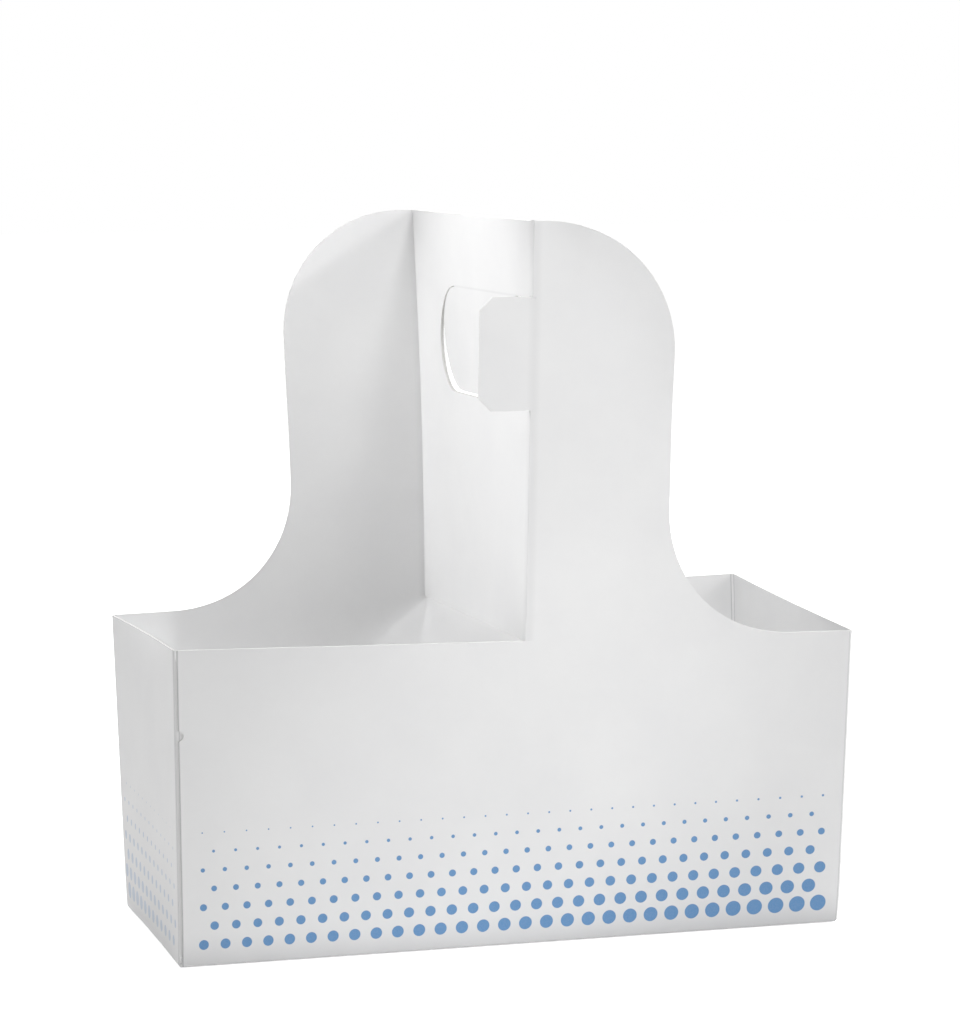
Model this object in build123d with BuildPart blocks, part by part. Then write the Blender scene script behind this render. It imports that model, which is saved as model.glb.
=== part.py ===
from build123d import *
from math import asin, cos, degrees, radians, sin, tan
import os

# A carrier for two takeaway cups, folded from one sheet of coated white board and glued.
# The tray is open at the top. Its two long panels lean outward, and each rises over its right-hand
# half into a tall panel. A double grip panel joins the two tall panels, from front to back, above
# the rim. All sizes are in millimetres. X runs along the long panels, Y from front to back, and Z
# up from the middle of the base. Heights on a long panel are measured up its leaning face.

# Board and its folds
board = 0.5
corner_inside_radius = 1.0
base_inside_radius = 0.5
grip_fold_share = 0.9

# Tray
tray_width = 200.0
base_depth = 86.0
rim_depth = 102.0
rim_height = 91.0
rim_fall = 3.9

# Tall panels
tall_height = 212.0
tall_reach = 44.0
top_flat = 6.0
rim_flat = 18.0

# Grip panel, its hand hole and the flap that fills the hole
grip_skew = 1.74
hole_drop = 21.7
hole_height = 32.0
hole_margin = 25.8
cut_gap = 0.25
flap_swing = 4.3

# Tab that the hand hole leaves on the front tall panel
tab_length = 15.2
tab_chamfer = 3.7

# Glued seam at the front left corner
seam_setback = 0.9
seam_radius = 0.8
glue_flap_width = 14.0
glue_flap_taper = 4.0
glue_flap_trim = 3.0
notch_radius = 1.5
notch_drop = 24.85

# Folded base, with two outer flaps that hook into each other and two end flaps inside
lock_offset = 12.0
lock_slant = 9.0
lock_gap = 0.4
end_flap_length = 58.0
end_flap_taper = 16.0
end_flap_gap = 1.0
tongue_gap = 7.0
tongue_margin = 17.0

# How far a cutting shape runs past the board, and limits that pick out the grip's folds
overshoot = 3.0
fold_shortest = 10.0
fold_furthest = 3.0
near = 0.01

# Radii of the folds' outer faces
corner_radius = corner_inside_radius + board
base_radius = base_inside_radius + board
grip_fold_radius = grip_fold_share * board

# Lean of the long panels
lean = degrees(asin((rim_depth - base_depth) / 2 / rim_height))
rise = cos(radians(lean))
spread = sin(radians(lean))
slope = tan(radians(lean))


def half_depth(z):
    # Outside half depth of the leaning panels at height z
    return base_depth / 2 + z * slope


def rim_at(x):
    # Height of the front rim, up the face, at a place along the panel
    return rim_height - rim_fall * x / tray_width


# Rim and tall panels
top_z = tall_height * rise
rim_high = rim_at(-tray_width / 2)
rim_low = rim_at(tray_width / 2)
beyond = tall_height + overshoot
shoulder_radius = tall_reach - top_flat
sweep_radius = tray_width / 2 - tall_reach - rim_flat

# Grip and hand hole, with Z heights and places along the grip
grip_bottom = rim_height * rise
hole_radius = hole_height / 2
hole_top = top_z - hole_drop
hole_middle = hole_top - hole_radius
hole_bottom = hole_top - hole_height
hole_reach = half_depth(hole_middle) - hole_margin
hole_centre = hole_reach - hole_radius
flap_start = tab_length - half_depth(hole_top)
flap_shift = hole_height * tan(radians(flap_swing))
fold_x = half_depth(hole_bottom) * tan(radians(grip_skew))

# Glue flap and base
notch_height = rim_high - notch_drop
glue_flap_top = rim_high - glue_flap_trim
glue_flap_reach = glue_flap_width - tray_width / 2
seam_x = seam_setback - tray_width / 2
lock_end = tray_width / 2 - 2 * base_radius
end_flap_half = base_depth / 2 - board - end_flap_gap
tongue_length = tray_width - 2 * end_flap_length - 2 * tongue_gap
tongue_depth = base_depth - 2 * tongue_margin

# The front panel's outer face, with its local Y up the face, and the back one by a half turn
front_plane = Plane(
    origin=(0, -base_depth / 2, 0),
    x_dir=(1, 0, 0),
    z_dir=(0, -rise, -spread),
)
back_plane = Plane(
    origin=(0, base_depth / 2, 0),
    x_dir=(-1, 0, 0),
    z_dir=(0, rise, -spread),
)

# The grip's middle plane, with its local X from front to back and its local Y up
along = Vector(-sin(radians(grip_skew)), cos(radians(grip_skew)), 0)
across = Vector(cos(radians(grip_skew)), sin(radians(grip_skew)), 0)
grip_plane = Plane(origin=(0, 0, 0), x_dir=along, z_dir=across)
grip_left = grip_plane.offset(-board)
grip_right = grip_plane.offset(board)


def leaning_block(inset, fold_radius, foot_radius):
    # A block with the tray's outline, taken in on every side, as tall as the tall panels.
    # Its front left corner stays sharp for the glued seam.
    with BuildPart() as block:
        for z in (inset, top_z):
            with BuildSketch(Plane.XY.offset(z)):
                Rectangle(tray_width - 2 * inset, 2 * (half_depth(z) - inset / rise))
        loft()
        upright = block.edges().filter_by(lambda edge: abs(edge.tangent_at(0.5).Z) > rise / 2)
        fillet(upright.sort_by(lambda edge: edge.center().X + edge.center().Y)[1:], fold_radius)
        fillet(block.faces().sort_by(Axis.Z)[0].edges(), foot_radius)
    return block.part


# Walls and outer base, as one leaning box with rounded folds, as tall as the tall panels
with BuildPart() as walls:
    add(leaning_block(0, corner_radius, base_radius))
    add(leaning_block(board, corner_inside_radius, base_inside_radius), mode=Mode.SUBTRACT)

# What is cut away around a tall panel: the sheet beside its swept edge and its round shoulder
with BuildSketch() as tall_side_waste:
    with BuildLine():
        Polyline(
            (tall_reach, rim_at(tall_reach)),
            (tray_width, rim_at(tray_width)),
            (tray_width, beyond),
            (0, beyond),
            (0, tall_height),
            (tall_reach, tall_height),
            close=True,
        )
    make_face()
    shoulder = tall_side_waste.vertices().sort_by_distance((tall_reach, tall_height))[0]
    fillet(shoulder, shoulder_radius)
    sweep = tall_side_waste.vertices().sort_by_distance((tall_reach, rim_at(tall_reach)))[0]
    fillet(sweep, sweep_radius)

# What is cut away on the other half of a long panel, above the rim and up to the grip's face
with BuildSketch() as low_side_waste:
    with BuildLine():
        Polyline(
            (-tray_width, rim_at(-tray_width)),
            (tall_reach, rim_at(tall_reach)),
            (tall_reach, beyond),
            (-tray_width, beyond),
            close=True,
        )
    make_face()

with BuildPart() as front_waste:
    with BuildSketch(front_plane.offset(overshoot)):
        add(low_side_waste.sketch)
    extrude(amount=-2 * overshoot)
    split(bisect_by=grip_left, keep=Keep.BOTTOM)
    with BuildSketch(front_plane.offset(overshoot)):
        add(tall_side_waste.sketch)
    extrude(amount=-2 * overshoot)

with BuildPart() as back_waste:
    with BuildSketch(back_plane.offset(overshoot)):
        add(low_side_waste.sketch)
    extrude(amount=-2 * overshoot)
    split(bisect_by=grip_right, keep=Keep.TOP)
    with BuildSketch(back_plane.offset(overshoot)):
        add(tall_side_waste.sketch)
    extrude(amount=-2 * overshoot)

# What is cut away above the left side panel, whose rim falls from the front to the back
with BuildPart() as left_waste:
    with BuildSketch(Plane.YZ.offset(-tray_width / 2 - overshoot)):
        with BuildLine():
            Polyline(
                (-half_depth(beyond), rim_high * rise),
                (-half_depth(rim_high * rise), rim_high * rise),
                (half_depth(rim_low * rise), rim_low * rise),
                (half_depth(beyond), rim_low * rise),
                (half_depth(beyond), beyond),
                (-half_depth(beyond), beyond),
                close=True,
            )
        make_face()
    extrude(amount=2 * overshoot)

# Flap of the hand hole, bent at its crease along the top of the hole
with BuildPart() as hand_flap:
    with BuildSketch(Plane(origin=along * flap_start, x_dir=across, z_dir=-along)):
        with BuildLine():
            Polyline(
                (-board, hole_top),
                (board, hole_top),
                (board + flap_shift, hole_bottom),
                (flap_shift - board, hole_bottom),
                close=True,
            )
        make_face()
    extrude(amount=flap_start - hole_reach)
    with BuildSketch(grip_plane):
        with Locations((hole_centre, hole_middle)):
            Circle(hole_radius - cut_gap)
        with Locations((hole_centre, hole_bottom + cut_gap)):
            Rectangle(
                hole_centre - flap_start,
                hole_height - cut_gap,
                align=(Align.MAX, Align.MIN),
            )
    extrude(amount=hole_height, both=True, mode=Mode.INTERSECT)

# Grip panel, two boards thick, its ends halfway into the tall panels' board
with BuildPart() as grip:
    with BuildSketch(grip_plane):
        low_end = half_depth(grip_bottom) - board / 2
        high_end = half_depth(top_z) - board / 2
        with BuildLine():
            Polyline(
                (-low_end, grip_bottom),
                (low_end, grip_bottom),
                (high_end, top_z),
                (-high_end, top_z),
                close=True,
            )
        make_face()
        with Locations((hole_centre, hole_middle)):
            Circle(hole_radius, mode=Mode.SUBTRACT)
            Rectangle(
                2 * high_end,
                hole_height,
                align=(Align.MAX, Align.CENTER),
                mode=Mode.SUBTRACT,
            )
    extrude(amount=board, both=True)

# Seam of the base, where its two outer flaps hook together
with BuildPart() as lock_seam:
    with BuildSketch() as lock_line:
        with BuildLine():
            Polyline(
                (-lock_end, lock_offset),
                (-lock_slant, lock_offset),
                (lock_slant, -lock_offset),
                (lock_end, -lock_offset),
            )
        trace(line_width=lock_gap)
    extrude(amount=board)

# Inner layer of the base: an end flap from each side panel, and the tongue between them
with BuildPart() as inner_base:
    with BuildSketch(Plane.XY.offset(board)):
        for side in (-1, 1):
            wall_x = side * (tray_width - board) / 2
            tip_x = side * (tray_width / 2 - end_flap_length)
            with BuildLine():
                Polyline(
                    (wall_x, -end_flap_half),
                    (tip_x, end_flap_taper - end_flap_half),
                    (tip_x, end_flap_half - end_flap_taper),
                    (wall_x, end_flap_half),
                    close=True,
                )
            make_face()
        Rectangle(tongue_length, tongue_depth)
    extrude(amount=board)

# Tab on the front tall panel, reaching past the front fold over the end of the hand hole
with BuildPart() as tab:
    with BuildSketch(front_plane):
        with Locations((fold_x, hole_bottom / rise)):
            Rectangle(
                tab_length + board,
                hole_height / rise,
                align=(Align.MAX, Align.MIN),
            )
        chamfer(vertices().group_by(Axis.X)[0], tab_chamfer)
    extrude(amount=-board)

# Seam: the front panel's raw edge stands back from the corner, over a glue flap from the side
with BuildPart() as seam_strip:
    with BuildSketch(front_plane.offset(overshoot)):
        with Locations((seam_x, -overshoot)):
            Rectangle(overshoot, beyond, align=(Align.MAX, Align.MIN))
    extrude(amount=-overshoot - board)

with BuildPart() as glue_flap:
    with BuildSketch(front_plane.offset(-board)):
        with BuildLine():
            Polyline(
                ((board - tray_width) / 2, glue_flap_trim),
                (glue_flap_reach, glue_flap_trim + glue_flap_taper),
                (glue_flap_reach, glue_flap_top - glue_flap_taper),
                ((board - tray_width) / 2, glue_flap_top),
                close=True,
            )
        make_face()
    extrude(amount=-board)

# What is cut away outside the bend between the left side panel and the glue flap
with BuildPart() as bend_waste:
    bend_corner = front_plane.origin + Vector(-tray_width / 2, board * rise, board * spread)
    with BuildSketch(Plane(origin=bend_corner, x_dir=(1, 0, 0), z_dir=(0, -spread, rise))):
        Rectangle(seam_radius, seam_radius, align=(Align.MIN, Align.MIN))
        with Locations((seam_radius, seam_radius)):
            Circle(seam_radius, mode=Mode.SUBTRACT)
    extrude(amount=beyond, both=True)

with BuildPart() as carrier:
    add(walls.part)
    add(front_waste.part, mode=Mode.SUBTRACT)
    add(back_waste.part, mode=Mode.SUBTRACT)
    add(left_waste.part, mode=Mode.SUBTRACT)
    add(left_waste.part.rotate(Axis.Z, 180), mode=Mode.SUBTRACT)
    add(lock_seam.part, mode=Mode.SUBTRACT)
    add(inner_base.part)
    add(grip.part)
    add(hand_flap.part)
    add(tab.part)
    folds = carrier.edges().filter_by(
        lambda edge: edge.length > fold_shortest
        and abs(edge.tangent_at(0.5).Z) > rise / 2
        and abs(edge.center().Y) > half_depth(edge.center().Z) - near
        and abs(edge.center().X) < fold_furthest
    )
    fillet(folds, grip_fold_radius)
    add(seam_strip.part, mode=Mode.SUBTRACT)
    add(glue_flap.part)
    with BuildSketch(front_plane):
        with Locations((seam_x, notch_height)):
            Circle(notch_radius)
    extrude(amount=-board, mode=Mode.SUBTRACT)
    add(bend_waste.part, mode=Mode.SUBTRACT)

carrier.part.label = "carrier"

os.makedirs("parts", exist_ok=True)
export_step(carrier.part, "parts/carrier.step")
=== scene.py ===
import math

import bmesh
import bpy
from mathutils import Matrix, Vector


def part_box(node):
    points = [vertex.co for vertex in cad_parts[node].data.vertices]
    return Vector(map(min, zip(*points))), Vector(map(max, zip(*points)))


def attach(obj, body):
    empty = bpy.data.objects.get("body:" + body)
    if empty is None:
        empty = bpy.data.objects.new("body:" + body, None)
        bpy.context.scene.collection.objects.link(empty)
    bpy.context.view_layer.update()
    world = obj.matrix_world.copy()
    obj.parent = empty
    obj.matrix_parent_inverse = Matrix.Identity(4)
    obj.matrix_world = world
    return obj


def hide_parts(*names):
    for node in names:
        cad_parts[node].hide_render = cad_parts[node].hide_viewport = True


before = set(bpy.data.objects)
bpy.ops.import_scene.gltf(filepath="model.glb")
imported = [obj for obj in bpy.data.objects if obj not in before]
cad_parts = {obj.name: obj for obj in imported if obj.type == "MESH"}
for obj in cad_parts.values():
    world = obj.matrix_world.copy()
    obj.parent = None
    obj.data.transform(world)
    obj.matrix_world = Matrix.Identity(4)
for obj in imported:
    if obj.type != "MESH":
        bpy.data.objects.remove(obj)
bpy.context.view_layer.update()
print("frame loaded")

millimetres = 1000.0  # in a metre

# the unbent sheet as the solid has it, in millimetres and degrees
sheet = {
    "board": 0.5,
    "halfLength": 100.0,
    "halfBase": 43.0,
    "lean": 5.043,
    "rimHeight": 90.65,
    "rimFall": 1.94,  # from the middle of a long panel to its end
    "rimHalf": 51.0,  # half the tray's depth at the rim
    "gripSkew": 1.74,
    "holeTop": 189.5,
    "holeEnd": 16.5,
    "seamEdge": 0.9,
    "shoulderAcross": 6.0,
    "shoulderUp": 173.4,
    "shoulderRadius": 38.0,
}
leanSlope = math.tan(math.radians(sheet["lean"]))
gripSlope = math.tan(math.radians(sheet["gripSkew"]))


class Wire:
    # one socket of a node tree, so that shader maths reads as plain maths
    def __init__(self, finish, socket):
        self.finish = finish
        self.socket = socket

    def calc(self, operation, *values):
        values = dict(enumerate(values))
        node = self.finish.node("ShaderNodeMath", {"operation": operation}, values)
        return Wire(self.finish, node.outputs[0])

    def __add__(self, other):
        return self.calc("ADD", self, other)

    def __radd__(self, other):
        return self.calc("ADD", other, self)

    def __sub__(self, other):
        return self.calc("SUBTRACT", self, other)

    def __rsub__(self, other):
        return self.calc("SUBTRACT", other, self)

    def __mul__(self, other):
        return self.calc("MULTIPLY", self, other)

    def __rmul__(self, other):
        return self.calc("MULTIPLY", other, self)

    def __truediv__(self, other):
        return self.calc("DIVIDE", self, other)

    def __rtruediv__(self, other):
        return self.calc("DIVIDE", other, self)

    def __mod__(self, other):
        return self.calc("FLOORED_MODULO", self, other)

    def __rmod__(self, other):
        return self.calc("FLOORED_MODULO", other, self)

    def __gt__(self, other):
        return self.calc("GREATER_THAN", self, other)

    def __lt__(self, other):
        return self.calc("LESS_THAN", self, other)

    def __abs__(self):
        return self.calc("ABSOLUTE", self)

    def floored(self):
        return self.calc("FLOOR", self)

    def root(self):
        return self.calc("SQRT", self)

    def clamped(self):
        return self.calc("MINIMUM", self.calc("MAXIMUM", self, 0.0), 1.0)

    def fade(self, start, end):
        # 0 at start and 1 at end, straight between
        return ((self - start) / (end - start)).clamped()


class Finish:
    # the node tree of a material or a world, and the one method that adds a node to it
    def __init__(self, owner, outputKind="ShaderNodeOutputMaterial"):
        owner.use_nodes = True
        self.owner = owner
        self.tree = owner.node_tree
        self.tree.nodes.clear()
        self.output = self.tree.nodes.new(outputKind)

    def node(self, kind, settings=None, values=None):
        node = self.tree.nodes.new(kind)
        for key, value in (settings or {}).items():
            setattr(node, key, value)
        for key, value in (values or {}).items():
            socket = node.inputs[key]
            if isinstance(value, Wire):
                self.tree.links.new(value.socket, socket)
            elif isinstance(value, bpy.types.NodeSocket):
                self.tree.links.new(value, socket)
            else:
                socket.default_value = value
        return node

    def wire(self, node, name):
        return Wire(self, node.outputs[name])

    def show(self, shader):
        # the finish ends in this shader
        self.tree.links.new(shader.outputs[0], self.output.inputs[0])
        return self.owner

    def mixed(self, factor, first, second):
        values = {0: factor, 6: first, 7: second}  # the colour sockets come after the others
        return self.node("ShaderNodeMix", {"data_type": "RGBA"}, values).outputs[2]

    def place(self):
        # where a point was on the unbent sheet, in millimetres
        spot = self.node("ShaderNodeAttribute", {"attribute_name": "sheetPlace"})
        return spot.outputs["Vector"]

    def axes(self, place):
        parts = self.node("ShaderNodeSeparateXYZ", {}, {0: place})
        return [self.wire(parts, name) for name in ("X", "Y", "Z")]

    def noise(self, place, facts):
        grain = self.node("ShaderNodeTexNoise", {}, {"Vector": place, **facts})
        return self.wire(grain, "Fac")

    def bumped(self, height, depth):
        values = {"Height": height, "Distance": depth, "Strength": 1.0}
        return self.node("ShaderNodeBump", {}, values).outputs[0]

    def seenDirectly(self):
        # 1 for what the camera or a reflection sees, 0 for the light that falls on things
        light = self.node("ShaderNodeLightPath")
        return (self.wire(light, "Is Camera Ray") + self.wire(light, "Is Glossy Ray")).clamped()


# print: rows of round dots that shrink upwards and to the left, on the four outer walls
dotPrint = {
    "blue": (0.121, 0.281, 0.526, 1.0),
    "pitch": 6.4,
    "rowStep": 5.5,
    "start": 3.6,
    "rows": 7,
    "largest": 2.35,
    "smallest": 0.35,
    "leftShare": 0.6,
    "rightShare": 1.04,
    "edge": 0.14,
    "margin": 2.0,
    "sideStrength": 0.4,
    "sideSlack": 0.2,
    "ink": 0.88,
    "inkGrain": 0.16,
}


def dotMask(along, height, halfRun):
    p = dotPrint
    row = ((height - p["start"]) / p["rowStep"]).floored()
    # where a point lies in its dot's cell, from -0.5 to 0.5; every other row is half a cell over
    across = (along / p["pitch"] + row * 0.5) % 1.0 - 0.5
    upwards = ((height - p["start"]) / p["rowStep"]) % 1.0 - 0.5
    wide = across * p["pitch"]
    tall = upwards * p["rowStep"]
    distance = (wide * wide + tall * tall).root()
    middle = along - wide
    share = middle * ((p["rightShare"] - p["leftShare"]) / (2 * halfRun))
    share = share + (p["rightShare"] + p["leftShare"]) / 2
    radius = p["largest"] - row * ((p["largest"] - p["smallest"]) / (p["rows"] - 1))
    radius = radius * share
    dot = ((radius - distance) / p["edge"] + 0.5).clamped()
    whole = abs(middle) < halfRun - p["margin"] - p["largest"]
    return dot * whole * (row > -0.5) * (row < p["rows"] - 0.5)


# painted shade: how much the coating's colour is darkened at each fold, crease or edge to stand
# in for the shade that falls there, and where, in millimetres
paintedShade = {
    "dark": (0.30, 0.30, 0.31, 1.0),
    "gripFold": 0.10,
    "gripFoldFade": (0.4, 2.2),
    "corner": 0.38,
    "cornerRadius": 0.78,
    "cornerHalfWidth": 0.17,
    "hinge": 0.12,
    "hingeFade": (0.1, 0.5),
    "hingeDepth": 0.8,
    "rim": 0.30,
    "rimFade": (0.15, 0.4),
    "sideSlack": 0.1,
    "seam": 0.34,
    "seamLine": 0.08,
    "seamHalfWidth": 0.1,
    "seamFold": 0.1,
    "seamFoldHalfWidth": 0.13,
    "seamFoot": 1.5,
    "seamDepth": 0.3,
    "foot": 0.32,
    "footHeight": 11.0,
}


# painted shade: where the coating's colour is darkened to stand in for the shade at the grip's
# folds, the tray's corner folds, the hole's hinge, under the side rims, at the front seam and at
# the foot
def paintedShadeMask(x, y, z):
    c = paintedShade
    # a half turn brings the back to the front, so both use one set of measures
    turned = (y > 0.0) * 2.0 - 1.0
    side = x * turned
    depth = abs(y)
    wall = z * leanSlope + sheet["halfBase"]
    outside = (depth - wall) > -sheet["board"] / 2

    # painted shade along the grip's folds above the rim: partly the crease line of the folded
    # board, partly the shade that falls in the corner there
    foldAside = side + wall * gripSlope + sheet["board"]
    foldDeep = depth - wall + sheet["board"]
    fromFold = (foldAside * foldAside + foldDeep * foldDeep).root()
    gripFold = (1.0 - fromFold.fade(*c["gripFoldFade"])) * (z > sheet["rimHeight"])
    gripFold = gripFold * c["gripFold"]

    # painted shade: a thin dark line round each corner fold of the tray, standing in for the
    # shade along the fold
    cornerAside = abs(x) - sheet["halfLength"] + sheet["board"]
    fromCorner = (cornerAside * cornerAside + foldDeep * foldDeep).root()
    corner = (abs(fromCorner - c["cornerRadius"]) < c["cornerHalfWidth"]) * c["corner"]

    # painted shade: a thin dark line along the crease at the top of the hole, where the flap
    # turns and its shading changes
    hinge = (1.0 - abs(z - sheet["holeTop"]).fade(*c["hingeFade"])) * (y < sheet["holeEnd"])
    hinge = hinge * (abs(x + y * gripSlope) < c["hingeDepth"]) * c["hinge"]

    # painted shadow: a thin dark band just under the rim on the side walls
    rimTurn = sheet["rimFall"] / sheet["halfLength"] / sheet["rimHalf"]
    rim = sheet["rimHeight"] + x * y * rimTurn
    sideFace = abs(x) > sheet["halfLength"] - c["sideSlack"]
    underRim = (1.0 - (rim - z).fade(*c["rimFade"])) * sideFace * c["rim"]

    # painted shade: thin dark lines at the front panel's raw edge over the glue flap and at the
    # fold beside it, for the shade of that step and fold
    fromLeft = x + sheet["halfLength"]
    seamEdge = abs(fromLeft - sheet["seamEdge"] - c["seamLine"]) < c["seamHalfWidth"]
    seamFold = abs(fromLeft - c["seamFold"]) < c["seamFoldHalfWidth"]
    onFront = (y < 0.0) * (z > c["seamFoot"]) * (foldDeep > -c["seamDepth"])
    seam = (seamEdge * outside + seamFold) * onFront * c["seam"]

    # painted shade: the outer walls darken towards the foot, standing in for the shade near the
    # floor
    nearFoot = 1.0 - z.fade(0.0, c["footHeight"])
    foot = nearFoot * nearFoot * outside * c["foot"]
    return (gripFold + corner + hinge + underRim + seam + foot).clamped()


coating = {
    "white": (0.80, 0.80, 0.80, 1.0),
    "shade": (0.775, 0.775, 0.778, 1.0),
    "mottle": {"Scale": 0.035, "Detail": 4.0, "Roughness": 0.6},
    "mottleFade": (0.35, 0.65),
    "grain": {"Scale": 2.4, "Detail": 3.0, "Roughness": 0.7},
    "grainDepth": 0.00002,  # metres
    "roughness": 0.48,
    "roughnessSpread": 0.1,
    "ior": 1.45,
    "specular": 0.25,
}


def makeCoatedBoard():
    finish = Finish(bpy.data.materials.new("coatedBoard"))
    place = finish.place()
    x, y, z = finish.axes(place)
    outerLong = (abs(y) - (z * leanSlope + sheet["halfBase"] - sheet["board"] / 2)) > 0.0
    outerSide = abs(x) > sheet["halfLength"] - dotPrint["sideSlack"]
    turned = (y < 0.0) * 2.0 - 1.0
    longDots = dotMask(x * turned, z, sheet["halfLength"]) * outerLong
    sideDots = dotMask(y, z, sheet["halfBase"]) * outerSide * dotPrint["sideStrength"]
    dots = (longDots + sideDots).clamped()
    mottle = finish.noise(place, coating["mottle"])
    grain = finish.noise(place, coating["grain"])
    mottled = mottle.fade(*coating["mottleFade"])
    paper = finish.mixed(mottled, coating["white"], coating["shade"])
    # the painted shade from the mask darkens the paper colour here
    paper = finish.mixed(paintedShadeMask(x, y, z), paper, paintedShade["dark"])
    ink = dots * (dotPrint["ink"] + grain * dotPrint["inkGrain"])
    return finish.show(finish.node("ShaderNodeBsdfPrincipled", {}, {
        "Base Color": finish.mixed(ink, paper, dotPrint["blue"]),
        "Roughness": coating["roughness"] + (grain - 0.5) * coating["roughnessSpread"],
        "Normal": finish.bumped(grain, coating["grainDepth"]),
        "IOR": coating["ior"],
        "Specular IOR Level": coating["specular"],
    }))


cutEdge = {
    "core": (0.80, 0.797, 0.785, 1.0),
    "fibre": (0.71, 0.70, 0.685, 1.0),
    "fibres": {"Scale": 1.6, "Detail": 4.0, "Roughness": 0.7},
    "fibreFade": (0.3, 0.7),
    "fibreDepth": 0.00005,  # metres
    "leafDark": (0.3, 0.3, 0.3, 1.0),
    "leafFade": (0.05, 0.1),
    "leafStrength": 0.5,
    "roughness": 0.9,
}


def makeCutEdge():
    finish = Finish(bpy.data.materials.new("cutEdge"))
    place = finish.place()
    x, y, z = finish.axes(place)
    fibre = finish.noise(place, cutEdge["fibres"])
    skew = math.radians(sheet["gripSkew"])
    # the line between the grip's two leaves
    fromMiddle = abs(x * math.cos(skew) + y * math.sin(skew))
    leafLine = (1.0 - fromMiddle.fade(*cutEdge["leafFade"])) * cutEdge["leafStrength"]
    fibrous = fibre.fade(*cutEdge["fibreFade"])
    colour = finish.mixed(fibrous, cutEdge["core"], cutEdge["fibre"])
    return finish.show(finish.node("ShaderNodeBsdfPrincipled", {}, {
        "Base Color": finish.mixed(leafLine, colour, cutEdge["leafDark"]),
        "Roughness": cutEdge["roughness"],
        "Normal": finish.bumped(fibre, cutEdge["fibreDepth"]),
    }))


# how the mesh is cut and its cut edges are found; in millimetres and degrees
cutting = {
    "weld": 0.002,
    "step": 5.0,
    "footCuts": (1.5, 3.0, 6.5),  # heights of extra level cuts
    "foldCuts": (1.2, 2.3, 3.5),  # extra cuts behind the front wall
    "planeSlack": 0.0001,
    "sharpAngle": 50.0,
    "ribbonWidth": 1.2,
    "seamStrip": 1.0,
    "facingFront": 0.9,
}


def isSmooth(edge):
    sharp = math.radians(cutting["sharpAngle"])
    return len(edge.link_faces) == 2 and edge.calc_face_angle(0.0) < sharp


def rememberNormals(mesh):
    # each corner keeps the solid's own normal, so that cuts and bends leave the shading smooth
    layer = mesh.loops.layers.float_vector.new("solidNormal")
    for vertex in mesh.verts:
        left = list(vertex.link_loops)
        while left:
            fan, front = [], [left.pop()]
            while front:
                loop = front.pop()
                fan.append(loop)
                for edge in filter(isSmooth, (loop.edge, loop.link_loop_prev.edge)):
                    for other in [one for one in left if edge in one.face.edges[:]]:
                        left.remove(other)
                        front.append(other)
            total = Vector((0, 0, 0))
            for loop in fan:
                total += loop.face.normal * loop.face.calc_area() * millimetres ** 2
            total.normalize()
            for loop in fan:
                loop[layer] = total


def smoothRegions(mesh):
    # groups of faces that join without a sharp edge between them
    mesh.faces.ensure_lookup_table()
    seen = set()
    groups = []
    for first in mesh.faces:
        if first.index in seen:
            continue
        seen.add(first.index)
        group, front = [], [first]
        while front:
            face = front.pop()
            group.append(face)
            for edge in filter(isSmooth, face.edges):
                for other in edge.link_faces:
                    if other.index not in seen:
                        seen.add(other.index)
                        front.append(other)
        groups.append(group)
    return groups


def markCutEdges(mesh):
    # a thin ribbon of faces between two sharp edges is where the board was cut,
    # except for the strip of glue flap that shows beside the seam
    stripEnd = -(sheet["halfLength"] - cutting["seamStrip"]) / millimetres
    for group in smoothRegions(mesh):
        inside = set(face.index for face in group)
        area = sum(face.calc_area() for face in group)
        outline = 0.0
        for face in group:
            for edge in face.edges:
                if not all(other.index in inside for other in edge.link_faces):
                    outline += edge.calc_length()
        isRibbon = area < outline * cutting["ribbonWidth"] / (2 * millimetres)
        facesFront = all(face.normal.y < -cutting["facingFront"] for face in group)
        isSeam = facesFront and group[0].calc_center_median().x < stripEnd
        for face in group:
            face.material_index = 1 if isRibbon and not isSeam else 0


def cutIntoGrid(mesh, low, high):
    cuts = []
    for axis in range(3):
        normal = Vector((0, 0, 0))
        normal[axis] = 1
        span = high[axis] - low[axis]
        count = int(span * millimetres / cutting["step"])
        for i in range(1, count + 1):
            spot = Vector((0, 0, 0))
            spot[axis] = low[axis] + i * span / (count + 1)
            cuts.append((spot, normal))
    for height in cutting["footCuts"]:
        cuts.append((Vector((0, 0, height / millimetres)), Vector((0, 0, 1))))
    for inward in cutting["foldCuts"]:
        deep = (sheet["halfBase"] - inward) / millimetres
        cuts.append((Vector((0, -deep, 0)), Vector((0, 1, leanSlope)).normalized()))
    slack = cutting["planeSlack"] / millimetres
    for spot, normal in cuts:
        everything = mesh.verts[:] + mesh.edges[:] + mesh.faces[:]
        bmesh.ops.bisect_plane(mesh, geom=everything, dist=slack, plane_co=spot, plane_no=normal)


# bends of the tray, in millimetres; a pair is where a bend starts and where it is full, and the
# corner values are front left, back left, front right and back right
trayBend = {
    "wallBow": 0.6,
    "wallBowReach": 1.9,  # in rim heights
    "sideBow": 0.7,
    "faceFade": (30.0, 1.0),
    "cornerFoot": (0.8, 0.0, 1.3, 0.3),
    "cornerRim": (-1.0, -1.6, 2.25, 0.65),
    "cornerFade": (40.0, 0.5),
    "cornerLift": (0.0, 0.3, 0.3, 0.85),
    "liftAcross": (30.0, 80.0),
    "liftFrom": 50.0,
    "footHeight": 13.0,
    "footTuck": 1.2,
    "footDrop": 0.4,
}

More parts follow.
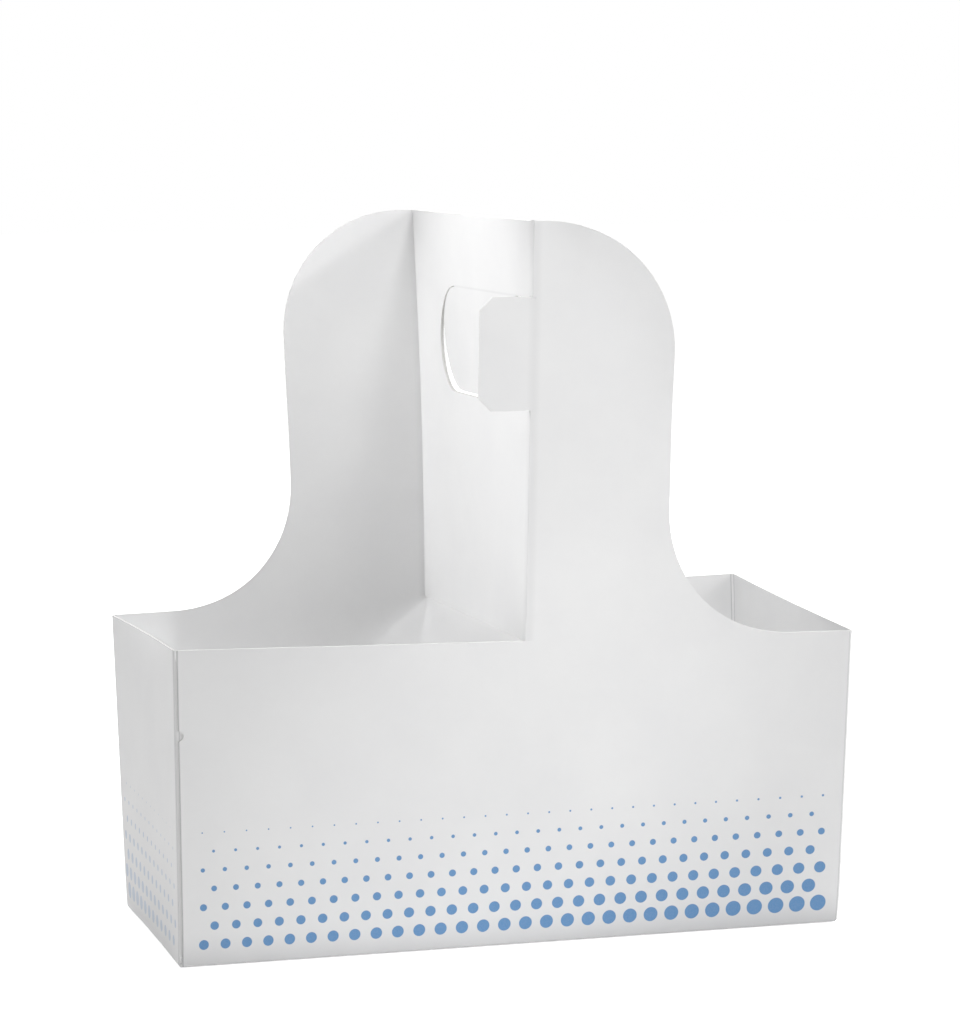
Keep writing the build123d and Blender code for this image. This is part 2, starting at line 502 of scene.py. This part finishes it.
# bends of the two tall panels, in the same way
backBend = {
    "end": 10.0,
    "shift": 0.8, "shiftUp": (130.0, 175.0), "shiftAcross": (8.0, 40.0),
    "lift": 0.3, "liftUp": (150.0, 200.0), "liftAcross": (4.0, 20.0),
    "foldBow": 0.75, "foldBowHeight": 120.0,
    "foldBowAcross": (5.0, 32.0), "foldBowDeep": (5.0, 45.0),
}
frontBend = {
    "end": -20.0,
    "curl": 1.3, "curlWidth": 16.0, "curlUp": (150.0, 178.0), "curlAcross": (6.0, 20.0),
    "drop": 0.3, "dropUp": (150.0, 200.0), "dropAcross": (4.0, 20.0),
    "tabLift": 0.45, "tabUp": (160.0, 188.0), "tabAcross": (-2.5, -0.5), "tabFade": (3.0, 1.0),
    "foldRound": 0.25, "foldRoundWidth": 3.5,
    "foldRoundUp": 8.0, "foldRoundAcross": (2.3, 4.0),
}


def smoothStep(value, start, end):
    t = max(0.0, min(1.0, (value - start) / (end - start)))
    return t * t * (3 - 2 * t)


def nearFace(value, face, reach):
    # 0 well inside a face and 1 at it
    return smoothStep(value, face - reach[0], face - reach[1])


def atCorners(values, x, y, wall):
    deep = max(0.0, min(1.0, (y + wall) / (2 * wall)))
    frontLeft, backLeft, frontRight, backRight = values
    front, back = (frontLeft, backLeft) if x < 0 else (frontRight, backRight)
    return front + (back - front) * deep


def bendTray(x, y, z, wall):
    b = trayBend
    half = sheet["halfLength"]
    rim = sheet["rimHeight"]
    onWall = nearFace(abs(y), wall, b["faceFade"])
    onSide = nearFace(abs(x), half, b["faceFade"])
    upward = min(1.0, z / rim)

    along = max(0.0, math.cos(math.pi * x / (2 * half)))
    upWall = math.sin(math.pi * min(1.0, z / (b["wallBowReach"] * rim))) ** 2
    moveY = math.copysign(b["wallBow"] * along * upWall * onWall, y)
    across = max(0.0, math.cos(math.pi * y / (2 * wall)))
    upSide = math.sin(math.pi * upward / 2)
    moveX = -math.copysign(b["sideBow"] * across * upSide * onSide, x)

    foot = atCorners(b["cornerFoot"], x, y, wall)
    top = atCorners(b["cornerRim"], x, y, wall)
    moveX += (foot + (top - foot) * upward) * nearFace(abs(x), half, b["cornerFade"])
    lift = atCorners(b["cornerLift"], x, y, wall)
    moveZ = lift * smoothStep(abs(x), *b["liftAcross"]) * smoothStep(z, b["liftFrom"], rim)

    tuck = max(0.0, 1 - z / b["footHeight"]) ** 2 * onWall
    moveY -= math.copysign(b["footTuck"] * tuck, y)
    moveZ -= b["footDrop"] * tuck
    return moveX, moveY, moveZ


def bendBackPanel(x, y, z):
    b = backBend
    moveX = -b["shift"] * smoothStep(z, *b["shiftUp"]) * smoothStep(-x, *b["shiftAcross"])
    arch = max(0.0, math.sin(math.pi * (z - sheet["rimHeight"]) / b["foldBowHeight"]))
    nearFold = (1 - smoothStep(-x, *b["foldBowAcross"])) * smoothStep(y, *b["foldBowDeep"])
    moveX += b["foldBow"] * arch * nearFold
    moveZ = b["lift"] * smoothStep(z, *b["liftUp"]) * smoothStep(-x, *b["liftAcross"])
    return moveX, 0.0, moveZ


def bendFrontPanel(x, y, z, wall):
    b = frontBend
    rim = sheet["rimHeight"]
    aside = max(0.0, x - sheet["shoulderAcross"])
    above = max(0.0, z - sheet["shoulderUp"])
    fromEdge = sheet["shoulderRadius"] - math.hypot(aside, above)
    curl = max(0.0, 1 - fromEdge / b["curlWidth"]) ** 2
    moveY = -b["curl"] * curl * smoothStep(x, *b["curlAcross"]) * smoothStep(z, *b["curlUp"])
    moveZ = -b["drop"] * smoothStep(z, *b["dropUp"]) * smoothStep(x, *b["dropAcross"])

    onTab = smoothStep(-x, *b["tabAcross"]) * nearFace(-y, wall, b["tabFade"])
    moveZ += b["tabLift"] * onTab * smoothStep(z, *b["tabUp"])

    inward = max(0.0, wall + y - sheet["board"])
    turn = max(0.0, 1 - inward / b["foldRoundWidth"]) ** 2
    nearFold = 1 - smoothStep(x, *b["foldRoundAcross"])
    aboveRim = smoothStep(z, rim, rim + b["foldRoundUp"])
    return b["foldRound"] * turn * nearFold * aboveRim, moveY, moveZ


def bentPlace(co):
    # a folded sheet is never quite flat: its walls bow, its corners stand a little off square,
    # its foot tucks in, and its free edges curl
    x, y, z = (value * millimetres for value in co)
    wall = sheet["halfBase"] + z * leanSlope
    moves = [bendTray(x, y, z, wall)]
    if z > sheet["rimHeight"] and y > 0 and x < backBend["end"]:
        moves.append(bendBackPanel(x, y, z))
    if z > sheet["rimHeight"] and y < 0 and x > frontBend["end"]:
        moves.append(bendFrontPanel(x, y, z, wall))
    moveX, moveY, moveZ = (sum(move) for move in zip(*moves))
    return Vector((x + moveX, y + moveY, z + moveZ)) / millimetres


def bentFrame(co):
    # a point's place after the bending, and how the bending turns its normals
    step = 1e-4
    here = bentPlace(co)
    columns = []
    for axis in range(3):
        beside = Vector(co)
        beside[axis] += step
        columns.append((bentPlace(beside) - here) / step)
    return here, Matrix(columns).inverted_safe()


def makeCarrier():
    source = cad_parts["carrier"]
    low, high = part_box("carrier")
    mesh = bmesh.new()
    mesh.from_mesh(source.data)
    weld = cutting["weld"] / millimetres
    bmesh.ops.remove_doubles(mesh, verts=mesh.verts[:], dist=weld)
    bmesh.ops.recalc_face_normals(mesh, faces=mesh.faces[:])
    rememberNormals(mesh)
    markCutEdges(mesh)
    cutIntoGrid(mesh, low, high)
    sheetMesh = bpy.data.meshes.new("carrierSheet")
    mesh.to_mesh(sheetMesh)
    mesh.free()
    spots = sheetMesh.attributes.new("sheetPlace", "FLOAT_VECTOR", "POINT")
    turns = []
    for vertex, spot in zip(sheetMesh.vertices, spots.data):
        spot.vector = vertex.co * millimetres
        vertex.co, turn = bentFrame(vertex.co)
        turns.append(turn)
    kept = sheetMesh.attributes["solidNormal"].data
    normals = []
    for loop in sheetMesh.loops:
        normal = turns[loop.vertex_index] @ Vector(kept[loop.index].vector)
        normals.append(normal.normalized())
    for polygon in sheetMesh.polygons:
        polygon.use_smooth = True
    sheetMesh.normals_split_custom_set(normals)
    piece = bpy.data.objects.new("carrierSheet", sheetMesh)
    bpy.context.scene.collection.objects.link(piece)
    piece.data.materials.append(makeCoatedBoard())
    piece.data.materials.append(makeCutEdge())
    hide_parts("carrier")
    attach(piece, "root")
    print("carrier sheet:", len(sheetMesh.polygons), "faces")


makeCarrier()

# the floor is white and glows for the camera alone, so that it still takes the carrier's shadow
floorLook = {
    "halfSize": 6.0,
    "drop": 0.0007,
    "white": (0.9, 0.9, 0.9, 1.0),
    "glow": (1.0, 1.0, 1.0, 1.0),
    "lift": 0.85,
}


def makeFloor():
    finish = Finish(bpy.data.materials.new("floorWhite"))
    strength = finish.seenDirectly() * floorLook["lift"]
    matte = finish.node("ShaderNodeBsdfDiffuse", {}, {"Color": floorLook["white"]})
    glowing = {"Color": floorLook["glow"], "Strength": strength}
    glow = finish.node("ShaderNodeEmission", {}, glowing)
    both = {0: matte.outputs[0], 1: glow.outputs[0]}
    white = finish.show(finish.node("ShaderNodeAddShader", {}, both))
    size = floorLook["halfSize"]
    mesh = bpy.data.meshes.new("floor")
    corners = [(-size, -size), (size, -size), (size, size), (-size, size)]
    mesh.from_pydata([(x, y, -floorLook["drop"]) for x, y in corners], [], [(0, 1, 2, 3)])
    mesh.materials.append(white)
    floor = bpy.data.objects.new("floor", mesh)
    bpy.context.scene.collection.objects.link(floor)


makeFloor()
print("floor made")

# the sky gives plain white to the camera, and a soft even light to the object
sky = {
    "white": (1.0, 1.0, 1.0, 1.0),
    "light": 0.265,
    "seen": 1.0,
}


def makeSky():
    world = bpy.data.worlds.new("studio")
    bpy.context.scene.world = world
    finish = Finish(world, "ShaderNodeOutputWorld")
    strength = finish.node("ShaderNodeMapRange", {}, {
        "Value": finish.seenDirectly(), "To Min": sky["light"], "To Max": sky["seen"],
    })
    values = {"Color": sky["white"], "Strength": strength.outputs["Result"]}
    finish.show(finish.node("ShaderNodeBackground", {}, values))


makeSky()
print("sky made")

# lamps: where they hang, what they point at, their size and power; one with a cone is a spot
lamps = {
    "rightSide": {
        "spot": (1.4, -0.2, 0.6), "target": (0, 0, 0.1),
        "size": 0.6, "power": 6.7,
    },
    "frontRight": {
        "spot": (0.9, -1.3, 0.7), "target": (0, 0, 0.1),
        "size": 0.8, "power": 5.2,
    },
    "topLeft": {
        "spot": (-0.35, -0.35, 1.2), "target": (0, 0, 0.1),
        "size": 0.5, "power": 3.6,
    },
    "backHigh": {
        "spot": (0.2, 1.0, 1.2), "target": (0, 0, 0.1),
        "size": 0.8, "power": 7.0,
    },
    "backRight": {
        "spot": (0.9, 0.9, 1.0), "target": (0, 0, 0.12),
        "size": 0.7, "power": 4.0,
    },
    "backLeft": {
        "spot": (-0.6, 0.7, 0.5), "target": (0, -0.02, 0.17),
        "size": 0.3, "power": 0.8,
    },
    "rightBay": {
        "spot": (0.12, -0.15, 0.65), "target": (0.05, 0.04, 0.08),
        "size": 0.12, "power": 1.15,
    },
    "bayBeam": {
        "spot": (-0.3, -0.1, 0.9), "target": (0.1, 0.015, 0.075),
        "cone": 8.0, "soft": 1.0, "size": 0.02, "power": 7.4,
    },
    "gripBeam": {
        "spot": (-0.75, -0.03, 0.34), "target": (0, -0.002, 0.153),
        "cone": 14.0, "soft": 0.5, "size": 0.02, "power": 12.4,
    },
    "topBeam": {
        "spot": (0.6, -0.8, 0.55), "target": (0.015, -0.05, 0.178),
        "cone": 10.0, "soft": 1.0, "size": 0.02, "power": 9.9,
    },
    "midBeam": {
        "spot": (0.6, -0.8, 0.45), "target": (0.0, -0.05, 0.055),
        "cone": 9.0, "soft": 1.0, "size": 0.02, "power": 9.8,
    },
}


def makeLamp(name, facts):
    light = bpy.data.lights.new(name, "SPOT" if "cone" in facts else "AREA")
    light.energy = facts["power"]
    if "cone" in facts:
        light.spot_size = math.radians(facts["cone"])
        light.spot_blend = facts["soft"]
        light.shadow_soft_size = facts["size"]
    else:
        light.size = facts["size"]
    lamp = bpy.data.objects.new(name, light)
    bpy.context.scene.collection.objects.link(lamp)
    lamp.location = facts["spot"]
    aim = Vector(facts["target"]) - Vector(facts["spot"])
    lamp.rotation_euler = aim.to_track_quat("-Z", "Y").to_euler()


for lampName, lampFacts in lamps.items():
    makeLamp(lampName, lampFacts)
print("lamps hung")

# camera: turned round the carrier and tipped down at it, from just over a metre away
view = {
    "turn": 15.27,
    "tilt": 6.44,
    "roll": -0.425,
    "aside": -0.0012,
    "away": 1.0929,
    "down": -0.1217,
    "focalPixels": 3600.0,
    "longSidePixels": 1024.0,
    "sensorWidth": 36.0,  # millimetres
    "nearest": 0.05,
    "furthest": 50.0,
}


def makeCamera():
    turn = Matrix.Rotation(math.radians(view["turn"]), 3, "Z")
    tilt = Matrix.Rotation(math.radians(view["tilt"]), 3, "X")
    roll = Matrix.Rotation(math.radians(view["roll"]), 3, "Y")
    axes = roll @ tilt @ turn
    offset = Vector((view["aside"], view["away"], view["down"]))
    camera = bpy.data.objects.new("camera", bpy.data.cameras.new("camera"))
    bpy.context.scene.collection.objects.link(camera)
    pose = Matrix((axes[0], axes[2], -axes[1])).transposed().to_4x4()
    pose.translation = -(axes.transposed() @ offset)
    camera.matrix_world = pose
    camera.data.sensor_width = view["sensorWidth"]
    camera.data.lens = view["focalPixels"] * view["sensorWidth"] / view["longSidePixels"]
    camera.data.clip_start = view["nearest"]
    camera.data.clip_end = view["furthest"]
    bpy.context.scene.camera = camera


makeCamera()
bpy.context.scene.view_settings.view_transform = "Standard"
print("camera set")
